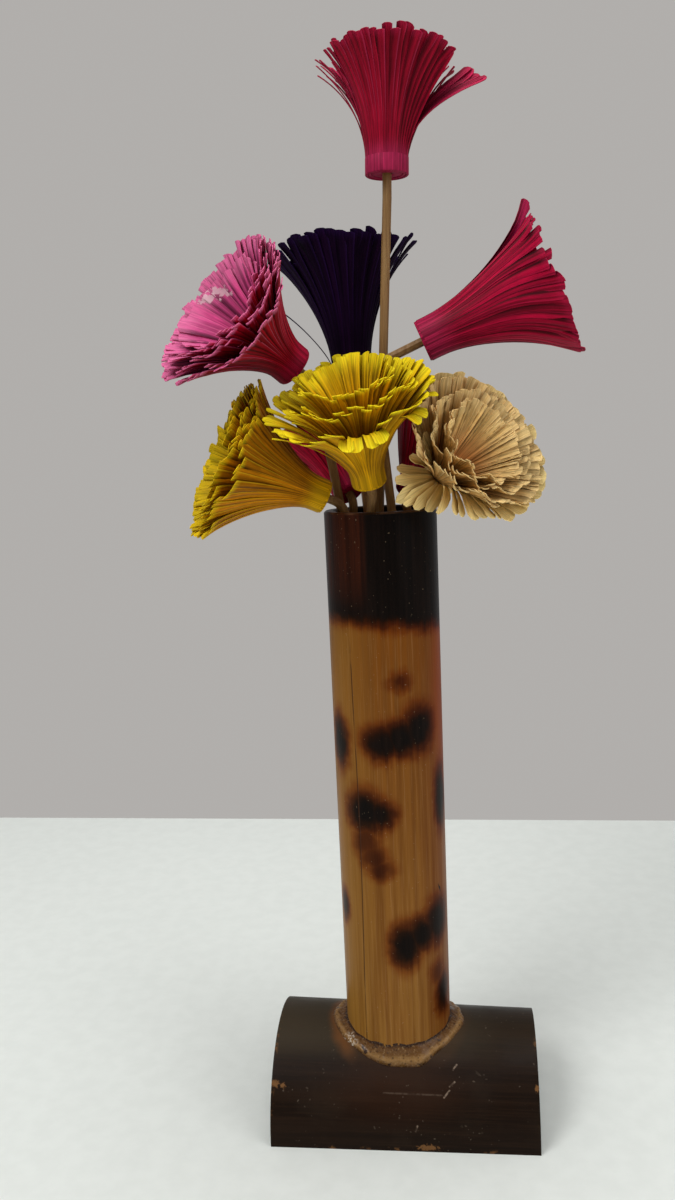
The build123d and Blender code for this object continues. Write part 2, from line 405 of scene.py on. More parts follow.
def glue_paint():
    """Dried glue with bamboo dust and pin holes, with painted shade dark in the groove, a tan crest that is
    partly dust and partly a painted highlight, and painted glints.
    """
    paint = Paint("set_glue", Specular_IOR_Level=0.2)
    place = paint.object_place()
    across = paint.axes(paint.uv_place("place"))["X"]
    blot = paint.noise(place, 260, 4)
    fine = paint.noise(place, 900, 2)
    ragged = paint.plus(across, paint.times(paint.minus(blot, 0.5), 0.3))
    pores = paint.node("TexVoronoi", {"Vector": place, "Scale": 420.0}).outputs["Distance"]
    glint = paint.step(1.3, 0.5, paint.spot(place, (-0.0235, -0.0185, 0.0405), (0.0045, 0.0045)))
    colour = paint.coats(
        # Painted shade in the groove and a painted highlight on the crest, from the tube outwards.
        paint.ramp(ragged, GLUE_SHADE_AND_HIGHLIGHT_STOPS),
        (paint.step(0.56, 0.74, fine), 0.45, (0.36, 0.23, 0.1)),
        (paint.step(0.4, 0.3, blot), 1, (0.03, 0.013, 0.006)),
        (paint.step(0.3, 0.16, pores), 0.6, (0.035, 0.014, 0.006)),
        (paint.times(glint, paint.step(0.5, 0.6, fine)), 0.7, (0.62, 0.56, 0.46)),
    )
    return paint.finish(colour, paint.step(0.3, 0.7, fine, 0.16, 0.45), blot, depth=0.4, strength=0.5)


def stem_paint():
    """Split bamboo sticks with long fibres and darker streaks."""
    paint = Paint("shaved_stick", Specular_IOR_Level=0.3)
    place = paint.object_place()
    fibre = paint.noise(place, 1600, 3, 0.6, stretch=(1, 1, 0.03))
    streak = paint.noise(place, 420, 2, stretch=(1, 1, 0.06))
    colour = paint.coats(
        paint.mix(paint.step(0.3, 0.7, streak), (0.2, 0.1, 0.027), (0.29, 0.165, 0.055)),
        (paint.step(0.5, 0.72, fibre), 0.6, (0.13, 0.056, 0.014)),
    )
    return paint.finish(colour, paint.step(0.3, 0.7, fibre, 0.45, 0.62), fibre, depth=0.15, strength=0.6)


@dataclass
class Dye:
    """The colours of one flower, and how its strips take light."""

    name: str
    slot: str
    outside: tuple
    inside: tuple
    # The next field is painted shade low down on the inside.
    deep: tuple  # low down on the inside
    tip: tuple
    # The next field is the paler free edge, partly the cut edge and partly a painted highlight.
    edge: tuple  # along the free edge of a strip
    collar: tuple
    edge_share: float = 0.35
    tip_share: float = 0.5
    gloss: float = 0.48  # least roughness
    shine: float = 0.06  # specular level
    # The next field sets painted shade where a strip goes under the next one.
    ridge: float = 0.36  # light left where a strip goes under the next one
    # The next field sets painted shade in the pleats; their raised parts are painted a little lighter.
    pleat: float = 0.7  # light left in the pleats of a strip
    pale_marks: tuple = ()  # spots where the dye has gone: centre and size in metres
    # Painted shade: the next field darkens the upper parts of a flower, from a low to a high end.
    shaded_above: tuple = ()  # low and high end in metres, and the factors at the high end


WORN_PALE = (0.74, 0.5, 0.55)


def strip_paint(dye):
    """Dyed shaved bamboo: each strip has its own tone, long fibres and paler tips; painted shade lies low on
    the inside, in the pleats, where a strip goes under the next and on the upper parts of some flowers, and
    the free edges are paler, partly cut edge and partly a painted highlight.
    """
    paint = Paint(f"dyed_{dye.name}", Specular_IOR_Level=dye.shine)
    step, times, noise = paint.step, paint.times, paint.noise
    object_place = paint.object_place()
    grain = paint.uv_place("grain")
    across, along, _ = paint.axes(paint.uv_place("place"))
    chance, side, _ = paint.axes(paint.uv_place("lot"))
    fibre = noise(grain, 1.0, 3, 0.6, stretch=(1.9, 0.06, 1))
    blot = noise(grain, 1.0, 2, stretch=(0.35, 0.11, 1))
    pleat = noise(grain, 1.0, 2, 0.5, stretch=(0.62, 0.01, 1))
    free = step(0.08, 0.3, along)

    # Painted shade: the inside is darker low down.
    inward = paint.mix(step(0.25, 0.85, along), dye.deep, dye.inside)
    colour = paint.mix(side, dye.outside, inward)
    colour = paint.mix(free, dye.collar, colour)
    tone = step(0.0, 1.0, chance, 0.74, 1.12)
    tone = times(tone, step(0.3, 0.7, fibre, 0.78, 1.1))
    tone = times(tone, step(0.3, 0.7, blot, 0.84, 1.06))
    # Painted shade where a strip goes under the next one.
    covered = paint.node("Mix", {0: side, 2: across, 3: paint.minus(1.0, across)}).outputs[0]
    shade = step(0.1, 0.55, covered, 1 - dye.ridge, 0.0)
    tone = times(tone, paint.minus(1.0, times(shade, free)))
    # Painted shade in the pleats, with a little painted light on their raised parts.
    tone = times(tone, step(0.4, 0.6, pleat, dye.pleat, 1.08))
    colour = paint.mix(1.0, colour, paint.joined(tone, tone, tone), "MULTIPLY")
    # Painted shade on the upper parts of some flowers.
    for low, high, shade_factors in dye.shaded_above:
        height = paint.axes(object_place)["Z"]
        colour = paint.mix(step(low, high, height), colour, paint.mix(1.0, colour, shade_factors, "MULTIPLY"))

    tip_start = step(0.0, 1.0, side, 0.93, 0.8)
    tips = times(step(tip_start, 1.0, along), step(0.35, 0.65, fibre, 0.4, 1.0))
    # Paler free edges: partly the cut edge and partly a painted highlight.
    rim = times(step(0.8, 0.98, covered), step(0.2, 0.6, along))
    colour = paint.coats(colour, (tips, dye.tip_share, dye.tip), (rim, dye.edge_share, dye.edge))
    for centre, size in dye.pale_marks:
        broken = step(0.3, 0.7, noise(object_place, 420, 3), -0.7, 0.7)
        reach = paint.plus(paint.spot(object_place, centre, size), broken)
        colour = paint.coats(colour, (times(step(1.25, 0.75, reach), side), 0.85, WORN_PALE))
    raised = paint.plus(fibre, times(pleat, 2.0))
    gloss = step(0.3, 0.7, fibre, dye.gloss, dye.gloss + 0.16)
    return paint.finish(colour, gloss, raised, depth=0.12, strength=0.5)


MAGENTA = Dye(
    "magenta", "magenta_strips", (0.37, 0.004, 0.026), (0.6, 0.022, 0.12),
    (0.32, 0.004, 0.024), (0.52, 0.014, 0.07), (0.56, 0.05, 0.14), (0.5, 0.016, 0.08),
)
YELLOW = Dye(
    "yellow", "yellow_strips", (0.66, 0.31, 0.002), (0.82, 0.48, 0.005),
    (0.68, 0.24, 0.003), (0.94, 0.74, 0.012), (0.86, 0.6, 0.02), (0.66, 0.35, 0.002),
)
DYES = {dye.name: dye for dye in (
    replace(MAGENTA, name="raspberry", inside=(0.55, 0.021, 0.085), deep=(0.42, 0.009, 0.045),
        collar=(0.44, 0.022, 0.085)),
    # A brighter copy of magenta: painted light on a flower at the back.
    replace(MAGENTA, name="magenta_painted_light", outside=(0.8, 0.015, 0.08)),
    replace(MAGENTA, name="pink", outside=(0.4, 0.004, 0.018), inside=(0.8, 0.1, 0.32),
        deep=(0.34, 0.006, 0.04), tip=(0.92, 0.24, 0.46), edge=(0.84, 0.24, 0.42),
        collar=(0.4, 0.008, 0.04), edge_share=0.25, tip_share=0.7, ridge=0.28,
        pale_marks=(((-0.0785, -0.005, 0.4162), (0.005, 0.0024)),
            ((-0.0725, -0.006, 0.4186), (0.0048, 0.0021)))),
    replace(MAGENTA, name="crimson", outside=(0.45, 0.002, 0.037), edge=(0.5, 0.012, 0.07),
        gloss=0.42, shine=0.1, ridge=0.18, pleat=0.46),
    # A darker copy of magenta: painted shade on a flower at the back.
    replace(MAGENTA, name="magenta_painted_shade", outside=(0.25, 0.003, 0.013), inside=(0.36, 0.008, 0.05)),
    replace(YELLOW, name="ochre", outside=(0.52, 0.185, 0.0015)),
    replace(YELLOW, name="yellow", deep=(0.86, 0.32, 0.006), tip=(1.0, 0.84, 0.016), tip_share=0.85),
    Dye("purple", "purple_strips", (0.011, 0.0018, 0.017), (0.018, 0.004, 0.05),
        (0.008, 0.0015, 0.014), (0.022, 0.006, 0.06), (0.03, 0.01, 0.08),
        (0.012, 0.003, 0.018), shine=0.03),
    # Cream is darkened on its upper parts by painted shade.
    Dye("cream", "cream_strips", (0.78, 0.47, 0.165), (0.94, 0.65, 0.255),
        (0.76, 0.34, 0.11), (0.93, 0.7, 0.34), (0.92, 0.7, 0.38), (0.7, 0.44, 0.16),
        ridge=0.6, pleat=0.86, shaded_above=((0.348, 0.368, (0.76, 0.66, 0.55)),)),
    # A brighter copy of cream with less painted shade, for the outer row: painted light, darkened on its
    # upper parts by painted shade.
    Dye("cream_painted_light", "cream_strips", (0.9, 0.58, 0.2), (1.0, 0.76, 0.29),
        (0.82, 0.49, 0.15), (1.0, 0.8, 0.38), (1.0, 0.79, 0.4), (0.7, 0.44, 0.16),
        ridge=0.75, pleat=0.95, shaded_above=((0.33, 0.364, (0.68, 0.58, 0.48)),)),
)}


@dataclass
class Flower:
    """One flower head: its place and opening as in the solids, and how its strips are cut and bent.

    Angles are in degrees round the collar, and row 0 is the outer one.
    """

    name: str
    body: str
    dye: str
    seed: int
    foot: tuple  # angle in the mouth, and inset from the ring of stems
    reach: tuple  # from there to the foot of the collar
    faces: tuple
    collar: float
    flare: float  # power of the curve along which a strip opens
    rows: tuple  # rim diameter and length of each
    curl: float = 0.03  # drop of the tips, as a share of the length
    wave: float = 1.2  # slow waves round a row
    twist: float = 7.0  # tilt that puts an edge under the next strip
    lap: float = 1.36  # width, as a share of the room at the rim
    belly: float = 0.1  # bulge, as a share of the width
    crinkle: float = 0.0  # small waves along a strip
    splits: int = 3  # places where neighbours lean apart
    pitch: float = 4.5  # room of a strip at the rim
    broad: float = 1.0  # factor of the pitch in the outer row
    core: float = 1.0  # factor of the pitch in the last row
    ruffle: tuple = (0, 0.0)  # count and height of waves round the rim
    dips: tuple = ()  # row, angle, angular width, added length and added rim radius
    frayed: tuple = ()  # angle and half width of a stretch of thin strips
    tabs: tuple = ()  # row, angle, half width and outward bend of the tips
    strays: tuple = ()  # angle, rim radius, length, share of width, flare and tilt of one outer strip
    bows: tuple = ()  # row, angle, angular width and added flare
    outer_dye: str = ""
    ragged: float = 0.45  # spread of length between groups of strips
    corner: float = 0.14  # rounding of a tip, as a share of the width
    swirl: float = 0.0  # turn of the tips round the axis, in radians
    band: bool = False  # the collar shows outside the strips
    sprig: bool = False  # a bundle of outer strips bends away


FLOWERS = [
    Flower("top_magenta", "top_magenta", "raspberry", 11, foot=(97, 0), reach=(9.9, 0.3, 158),
        faces=(0.03, 0, 1), collar=21, flare=2.0, rows=((64, 56), (50, 55), (36, 52)),
        pitch=3.5, twist=8, frayed=((178, 20),), ragged=0.6, splits=2, band=True, sprig=True,
        dips=((0, -148, 22, 0, -2.2), (1, 0, 35, -2, 4.5)), bows=((1, 0, 35, -0.5),)),
    Flower("tall_purple", "tall_purple", "purple", 12, foot=(116, 1.8), reach=(-8.7, 30.5, 65),
        faces=(-0.05, 0.12, 1), collar=20, flare=1.8, rows=((68, 66), (52, 63), (36, 60)),
        splits=1, pitch=4.6, lap=1.5, frayed=((4, 34),), ragged=0.5,
        dips=((0, 180, 60, 1, 5), (0, 4, 34, 8, 1.5), (0, -90, 60, 3, 0),
            (1, 180, 60, -1, 4), (1, 0, 50, 0, -6), (2, 0, 50, 0, -3)),
        strays=((186, 38, 42, 0.36, 1.35, 7),)),
    Flower("left_magenta", "left_magenta", "pink", 13, foot=(190, 0), reach=(-21, 0.1, 69),
        faces=(-0.62, -0.5, 0.6), collar=20, flare=1.5, rows=((79, 45), (73, 48), (64, 50), (52, 51)),
        wave=1.6, crinkle=0.12, pitch=2.9, core=1.7, twist=3, splits=2, belly=0.06, corner=0.08,
        ragged=0.5, ruffle=(8, 0.8),
        dips=((0, -18, 42, -7, 0), (0, 45, 40, 1, -3.5), (0, -115, 30, 1, 3.5),
            (1, -5, 40, -2.5, 0), (1, 45, 40, 0, -1.5), (1, 70, 30, 3, 1), (1, -130, 40, 2, 3),
            (2, 70, 30, 3, 2), (2, -130, 40, 3, 2), (3, -35, 65, -13, -3),
            (2, -30, 50, -3, -2),
            *((row, angle, 7, 2.6, 1) for row in (0, 1, 2) for angle in (103, 128, 152, 176)))),
    Flower("right_magenta", "right_magenta", "crimson", 14, foot=(8, 10.8), reach=(16.1, 10, 79),
        faces=(0.92, 0, 0.39), collar=20, flare=1.7, rows=((74, 67), (58, 65), (40, 62)),
        pitch=3.9, twist=10, swirl=0.2, splits=2, ragged=0.6,
        dips=((0, 90, 40, 3.5, -7.5), (1, 90, 40, 2, -4)),
        strays=((80, 35.5, 73, 0.8, 1.9, 40), (88, 36, 73.5, 1, 1.9, 55))),
    Flower("left_yellow", "low_bunch", "ochre", 15, foot=(210, 0), reach=(-10.1, -2.1, 7),
        faces=(-0.85, -0.31, 0.42), collar=16, flare=1.5, rows=((79, 52), (72, 55), (56, 57)),
        wave=1.8, pitch=3.7, twist=9, splits=2, ruffle=(7, 0.8), ragged=0.6,
        dips=((0, 48, 30, -1, -9.5), (1, 48, 30, 0, -6.5), (2, 48, 30, 0, -3))),
    Flower("front_yellow", "front_yellow", "yellow", 16, foot=(255, 0), reach=(1.9, -4.8, 13.4),
        faces=(-0.13, -0.43, 0.89), collar=16, flare=1.5, rows=((77, 46), (60, 52), (42, 57)),
        curl=0.06, wave=1.6, twist=5, lap=1.45, pitch=2.9, broad=1.6, splits=2,
        ruffle=(8, 0.9), frayed=((-157, 26),), ragged=0.6,
        tabs=((0, -72, 4, 60), (0, -59, 8, 70), (0, -23, 5, 65), (0, -8, 4, 55), (0, 8, 4, 50))),
    Flower("cream", "low_bunch", "cream", 17, foot=(3, 1.2), reach=(11.6, -2.4, 12),
        faces=(0.6, -0.64, 0.47), collar=17, flare=1.0, rows=((75, 34), (69, 37), (56, 39), (40, 40)),
        twist=5, lap=1.4, crinkle=0.22, pitch=2.9, broad=1.7, core=0.62,
        ruffle=(10, 1.3), ragged=0.7, corner=0.1, splits=0,
        dips=((0, 20, 70, 0, 3), (0, -105, 38, -6, -4.5), (0, -166, 24, -17, 8),
            (0, -138, 18, -8, -3), (0, 168, 16, -2, -12), (0, 134, 18, 0, -4.5),
            (1, 172, 22, -1, 4), (1, -115, 50, 0, -6), (2, -115, 50, 0, -4)),
        bows=((0, -132, 60, 1.6),), outer_dye="cream_painted_light"),
    Flower("rear_left_magenta", "low_bunch", "magenta_painted_light", 18, foot=(155, 0), reach=(0.3, 0.5, 7),
        faces=(-0.48, 0.46, 0.75), collar=15, flare=1.7, rows=((44, 42), (32, 40))),
    Flower("rear_right_magenta", "low_bunch", "magenta_painted_shade", 19, foot=(35, 0), reach=(-0.6, -0.2, 7),
        faces=(0.42, 0.55, 0.72), collar=14, flare=0.9, rows=((54, 46), (38, 44))),
]
ROW_NAMES = ("outer", "middle", "inner", "heart")

# Collars, and how much shorter each inner one is below and above
COLLAR_POINTS = 72
COLLAR_EASE = 0.25
COLLAR_STEP_LOW = 0.35
COLLAR_STEP_HIGH = 0.3

# Strips: their grid, and where they leave the collar inside it or low on its outside
ACROSS = np.linspace(-1, 1, 5)
ALONG = np.linspace(0, 1, 17)
STRIP_THICKNESS = 0.36
STRIP_COUNTS = (18, 96)
STRIP_ROOT = COLLAR_HEIGHT - 1.4
OUTSIDE_ROOTS = (0.8, 1.6)
ROOT_OUTSIDE = 0.12
ROOT_INSIDE = -0.35
SHARP_ANGLE = radians(48)

# Chance differences between the strips of a row
LEAN_SPREAD = 0.05
RIM_SPREAD = 0.35
LENGTH_SPREAD = 0.012
FOLD_SPREAD = 0.1
CURL_SPREAD = 0.3
TILT_SPREAD = 0.2
TIP_SLOPE_SPREAD = 0.08
WIDTHS = (0.96, 1.06)
GROUP_SHARE = 0.4
ANY_PHASE = 6.3
GRAIN_SHIFT = 500

# Splits, ruffles, curled tips, cut corners and crinkles
SPLIT_PUSH = 0.55
SPLIT_PITCHES = 1.6
RUFFLE_LENGTH = 0.4
CURL_START = 0.55
CURL_REST = 0.45
CORNER_POWER = 2.8
CRINKLE_WAVES = 34

# The sprig from its first strip to its last, and the strips beside it, which make room
SPRIG_SPREAD = radians(17)
SPRIG_RIM, SPRIG_RIM_FALL = 47.0, 9.0
SPRIG_LENGTH, SPRIG_LENGTH_RISE = 40.5, 7.5
SPRIG_FLARE, SPRIG_FLARE_RISE = 2.3, 0.1
SPRIG_GATHER = 0.62
SPRIG_TILT = radians(-45)
BESIDE_RIM = 34.5
BESIDE_SHORTER = 5.0
BESIDE_STRAIGHTER = 0.6


def head_matrix(flower):
    """From the collar's own frame, in millimetres, to the row frame, in metres."""
    angle, inset = flower.foot
    ring = STEM_RING - inset
    foot = Vector((ring * cos(radians(angle)), ring * sin(radians(angle)), TUBE_HEIGHT))
    axis = Vector(flower.faces).normalized()
    side = Vector((1, 0, 0)) if abs(axis.z) > 0.9 else Vector((0, 0, 1)).cross(axis)
    side = (side - axis * side.dot(axis)).normalized()
    turn = Matrix((side, axis.cross(side), axis)).transposed().to_4x4()
    return Matrix.Scale(MM, 4) @ Matrix.Translation(foot + Vector(flower.reach)) @ turn


class Sheets:
    """Collects grids of vertices and quads with the three maps that the strip paint reads.

    place is the share across and along, grain the same in millimetres with a shift for each strip, and lot
    a chance number and the side, 0 outside and 1 inside.
    """

    def __init__(self):
        self.points, self.quads, self.maps, self.count = [], [], [], 0

    def add(self, points, quads, place, grain, lot):
        self.points.append(points.reshape(-1, 3))
        self.quads.append(quads.reshape(-1, 4) + self.count)
        self.maps.append(np.concatenate([values.reshape(-1, 2) for values in (place, grain, lot)], 1))
        self.count += len(self.points[-1])

    def build(self, name, matrix):
        points, quads, maps = (np.concatenate(parts) for parts in (self.points, self.quads, self.maps))
        mesh = bpy.data.meshes.new(name)
        mesh.from_pydata(points.tolist(), [], quads.tolist())
        for title, values in zip(("place", "grain", "lot"), np.split(maps[quads.ravel()], 3, 1)):
            layer = mesh.uv_layers.new(name=title)
            layer.data.foreach_set("uv", values.astype(np.float32).ravel())
        mesh.transform(matrix)
        mesh.shade_smooth()
        mesh.set_sharp_from_angle(angle=SHARP_ANGLE)
        return put_in_scene(name, mesh)


def stacked(*values):
    """Arrays that fit each other as the last axis of one array."""
    return np.stack(np.broadcast_arrays(*values), -1)


def ring_quads(count, size):
    """The quads of a closed profile of size points that is set count times round an axis."""
    row, col = np.meshgrid(np.arange(count), np.arange(size), indexing="ij")
    after, above = (row + 1) % count, (col + 1) % size
    return np.stack([row * size + col, after * size + col, after * size + above, row * size + above], -1)


def strip_quads(count):
    """The quads of count closed ribbons, each with an outer and an inner layer."""
    rows, cols = len(ALONG), len(ACROSS)
    grid = np.arange(2 * rows * cols).reshape(2, rows, cols)
    outer, inner = grid
    parts = [
        (outer[:-1, :-1], outer[:-1, 1:], outer[1:, 1:], outer[1:, :-1]),
        (inner[:-1, :-1], inner[1:, :-1], inner[1:, 1:], inner[:-1, 1:]),
        (outer[:-1, 0], outer[1:, 0], inner[1:, 0], inner[:-1, 0]),
        (outer[:-1, -1], inner[:-1, -1], inner[1:, -1], outer[1:, -1]),
        (outer[-1, :-1], outer[-1, 1:], inner[-1, 1:], inner[-1, :-1]),
        (outer[0, :-1], inner[0, :-1], inner[0, 1:], outer[0, 1:]),
    ]
    quads = np.concatenate([np.stack(part, -1).reshape(-1, 4) for part in parts])
    return (quads[None] + (np.arange(count) * grid.size)[:, None, None]).reshape(-1, 4)


def add_collar(sheets, outer, inner, low, high, rng):
    """A rolled collar: a ring with eased edges."""
    ease = COLLAR_EASE
    profile = [(outer, low + ease), (outer, high - ease), (outer - ease, high), (inner + ease, high),
               (inner, high - ease), (inner, low + ease), (inner + ease, low), (outer - ease, low)]
    radius, height = np.array(profile).T
    count, size = COLLAR_POINTS, len(profile)
    turn = np.arange(count) * 2 * pi / count
    points = stacked(np.outer(np.cos(turn), radius), np.outer(np.sin(turn), radius), height)
    place = np.zeros((count, size, 2)) + (0.5, 0)
    grain = stacked((turn * outer)[:, None], height)
    lot = np.zeros((count, size, 2))
    lot[..., 0] = rng.uniform(0.5, 0.8)
    sheets.add(points, ring_quads(count, size), place, grain, lot)


def wrapped(turn):
    """A turn within half a circle either way."""
    return np.mod(turn + pi, 2 * pi) - pi


def apart(turn, angle):
    """Signed turn from an angle in degrees."""
    return wrapped(turn - radians(angle))


def nearness(turn, angle, spread):
    """1 at an angle in degrees, and softly less over a spread."""
    return np.exp(-((apart(turn, angle) / radians(spread)) ** 2))


def within(turn, angle, spread):
    """Whether a turn is within a spread of an angle in degrees."""
    return np.abs(apart(turn, angle)) < radians(spread)


def rotated(first, second, angle):
    """Two coordinates after a turn from the second towards the first."""
    return first * np.cos(angle) + second * np.sin(angle), second * np.cos(angle) - first * np.sin(angle)


def each(values):
    """One value per strip, for its whole grid."""
    return np.asarray(values)[:, None, None]


class Ring:
    """One row of strips: where each one stands, how it is cut and how it bends."""

    def __init__(self, flower, order, rng):
        self.flower, self.order = flower, order
        self.rim, self.length = flower.rows[order]
        last = order == len(flower.rows) - 1
        pace = flower.pitch * (flower.broad if order == 0 else flower.core if last else 1)
        self.count = int(np.clip(round(pi * self.rim / pace), *STRIP_COUNTS))
        self.pitch = 2 * pi / self.count
        self.scatter(rng)
        self.follow(rng)
        self.loosen(rng)
        if order == 0 and flower.sprig:
            self.part_sprig(rng)

    def scatter(self, rng):
        """Chance differences from strip to strip, and waves round the row."""
        flower, count, pitch = self.flower, self.count, self.pitch
        turn = wrapped(np.arange(count) * pitch + rng.uniform(0, 1))
        lean = rng.normal(0, LEAN_SPREAD, count) * pitch
        half = self.rim / 2 + rng.normal(0, RIM_SPREAD, count)
        long = self.length * (1 + rng.normal(0, LENGTH_SPREAD, count))
        group = np.cumsum(rng.uniform(0, 1, count) < GROUP_SHARE)
        step = rng.normal(0, flower.ragged, group[-1] + 1)[group]
        long += step
        half += 0.5 * step
        for lobes in (2, 3, 5):
            half += flower.wave / lobes * np.cos(lobes * turn + rng.uniform(0, ANY_PHASE))
            long += flower.wave / lobes * np.cos(lobes * turn + rng.uniform(0, ANY_PHASE))
        for split in rng.uniform(-pi, pi, flower.splits):
            away = wrapped(turn - split)
            lean += SPLIT_PUSH * pitch * np.sign(away) * np.exp(-np.abs(away) / (SPLIT_PITCHES * pitch))
        lobes, swell = flower.ruffle
        self.phase = rng.uniform(0, ANY_PHASE)
        long += RUFFLE_LENGTH * swell * np.cos(lobes * turn + rng.uniform(0, ANY_PHASE))
        self.turn, self.lean, self.half, self.long = turn, lean, half, long

    def follow(self, rng):
        """The row's dips, bows and tabs, and the fold, curl, width and tilt of each strip."""
        flower, count, turn = self.flower, self.count, self.turn
        for row, angle, spread, longer, wider in flower.dips:
            if row == self.order:
                self.long += longer * nearness(turn, angle, spread)
                self.half += wider * nearness(turn, angle, spread)
        self.flare = np.full(count, flower.flare)
        for row, angle, spread, added in flower.bows:
            if row == self.order:
                self.flare += added * nearness(turn, angle, spread)
        self.fold = rng.normal(0, FOLD_SPREAD, count)
        for row, angle, spread, bend in flower.tabs:
            if row == self.order:
                bent = within(turn, angle, spread)
                self.fold[bent] = radians(bend) * rng.uniform(0.85, 1.1, bent.sum())
        self.curl = flower.curl * (1 + rng.normal(0, CURL_SPREAD, count))
        self.wide = rng.uniform(*WIDTHS, count)
        self.tilt = radians(flower.twist) * (1 + rng.normal(0, TILT_SPREAD, count))

    def loosen(self, rng):
        """Stretches of thin strips of uneven length, and single outer strips that leave the others."""
        for angle, spread in self.flower.frayed:
            thin = within(self.turn, angle, spread)
            self.wide[thin] *= rng.uniform(0.3, 0.6, thin.sum())
            self.half[thin] += rng.uniform(-0.5, 2.0, thin.sum())
            self.long[thin] -= rng.uniform(0, 6, thin.sum())
            self.flare[thin] *= rng.uniform(1.0, 1.12, thin.sum())
        self.span = np.maximum(self.half, self.rim / 2)
        for angle, far, high, share, bow, roll in self.flower.strays if self.order == 0 else ():
            one = np.argmin(np.abs(apart(self.turn, angle)))
            self.half[one], self.long[one], self.wide[one] = far, high, share
            self.flare[one], self.lean[one], self.tilt[one] = bow, 0, radians(roll)

    def part_sprig(self, rng):
        """A bundle of strips at the right that bends away, with room beside it."""
        off = np.abs(self.turn)
        loose = off < SPRIG_SPREAD
        rise = (self.turn[loose] / SPRIG_SPREAD + 1) / 2
        self.half[loose] = SPRIG_RIM - SPRIG_RIM_FALL * rise + rng.normal(0, 0.25, loose.sum())
        self.long[loose] = SPRIG_LENGTH + SPRIG_LENGTH_RISE * rise + rng.normal(0, 0.4, loose.sum())
        self.flare[loose] = SPRIG_FLARE + SPRIG_FLARE_RISE * rise
        self.lean[loose] = -SPRIG_GATHER * self.turn[loose]
        self.tilt[loose] = SPRIG_TILT
        beside = (off >= SPRIG_SPREAD) & (off < 3 * SPRIG_SPREAD)
        near = 1 - (off[beside] / SPRIG_SPREAD - 1) / 2
        self.half[beside] = BESIDE_RIM + rng.normal(0, 0.3, beside.sum())
        self.long[beside] -= BESIDE_SHORTER * near
        self.flare[beside] = self.flower.flare - BESIDE_STRAIGHTER * near


def strip_middles(ring, root, s, rng):
    """The middle of each strip: shares of its free and its whole length, radius, height and face."""
    flower, count = ring.flower, ring.count
    half, long, flare, curl = each(ring.half), each(ring.long), each(ring.flare), each(ring.curl)
    free = long - STRIP_ROOT
    inside = ring.order or flower.band
    low = STRIP_ROOT if inside else each(rng.uniform(*OUTSIDE_ROOTS, count))
    rim_width = flower.lap * pi * ring.rim / count
    corner = flower.corner * rim_width / free
    slope = each(rng.normal(0, TIP_SLOPE_SPREAD, count)) * rim_width / free
    t = ALONG[None, :, None]
    t = np.clip(t - (corner * np.abs(s) ** CORNER_POWER + slope * s) * smooth(0.6, 1.0, t), 0, None)
    height = low + long * t - low * t
    along = height / long
    t = np.clip((height - STRIP_ROOT) / free, 0, None)
    late = np.clip((t - CURL_START) / CURL_REST, 0, None)
    radius = root + (half - root) * t**flare
    height = height - free * curl * late**2
    run_out = (half - root) * flare * np.maximum(t, 0.02) ** (flare - 1) * (t > 0)
    run_up = free * (1 - curl * 2 * late / CURL_REST)
    norm = np.sqrt(run_out**2 + run_up**2)
    face_out, face_up = run_up / norm, -run_out / norm

    bend = each(ring.fold) * smooth(0.8, 1.0, t)
    steps_out = np.diff(radius, axis=1, prepend=radius[:, :1])
    steps_up = np.diff(height, axis=1, prepend=height[:, :1])
    steps_out, steps_up = rotated(steps_out, steps_up, bend)
    radius = radius[:, :1] + np.cumsum(steps_out, axis=1)
    height = height[:, :1] + np.cumsum(steps_up, axis=1)
    face_out, face_up = rotated(face_out, face_up, bend)
    return t, along, radius, height, face_out, face_up


def add_strips(sheets, flower, order, root, rng):
    """One row of strips that leave the collar side by side, widen, lap like shingles and flare out."""
    ring = Ring(flower, order, rng)
    count = ring.count
    s = ACROSS[None, None, :]
    t, along, radius, height, face_out, face_up = strip_middles(ring, root, s, rng)
    angle = each(ring.turn) + each(ring.lean) * t**1.5 + flower.swirl * smooth(0.5, 1.1, t)
    lap = 1.0 + (flower.lap - 1.0) * smooth(0.03, 0.4, t)
    room = np.minimum(radius, each(ring.span))
    width = each(ring.wide) ** smooth(0.05, 0.5, t) * lap * room * ring.pitch
    lift = each(ring.tilt) * smooth(0.02, 0.4, t)
    ripples = np.sin(t * CRINKLE_WAVES + each(rng.uniform(0, ANY_PHASE, count)) + s)
    crinkle = flower.crinkle * smooth(0.35, 1, t) * ripples
    lobes, swell = flower.ruffle
    wave = swell * smooth(0.3, 1, t) * np.cos(lobes * (angle + s * width / (2 * radius)) + ring.phase)
    belly = width * flower.belly * smooth(0.0, 0.3, t) * (0.35 - s**2) + crinkle + wave
    layers = []
    for layer in (0.5, -0.5):
        aside, lifted = rotated(s * width / 2, belly + layer * STRIP_THICKNESS, -lift)
        x, y = rotated(radius + lifted * face_out, aside, -angle)
        layers.append(stacked(x, y, height + lifted * face_up))
    points = np.stack(layers, 1)
    shift = rng.uniform(0, GRAIN_SHIFT, (count, 2))
    place = stacked(s * 0.5 + 0.5, along)
    grain = stacked(s * width / 2 + each(shift[:, 0]), t * each(ring.long) + each(shift[:, 1]))
    lot = np.zeros((*points.shape[:-1], 2))
    lot[..., 0] = rng.uniform(0, 1, count)[:, None, None, None]
    lot[:, 1, :, :, 1] = 1.0
    sheets.add(points, strip_quads(count), np.stack([place, place], 1), np.stack([grain, grain], 1), lot)


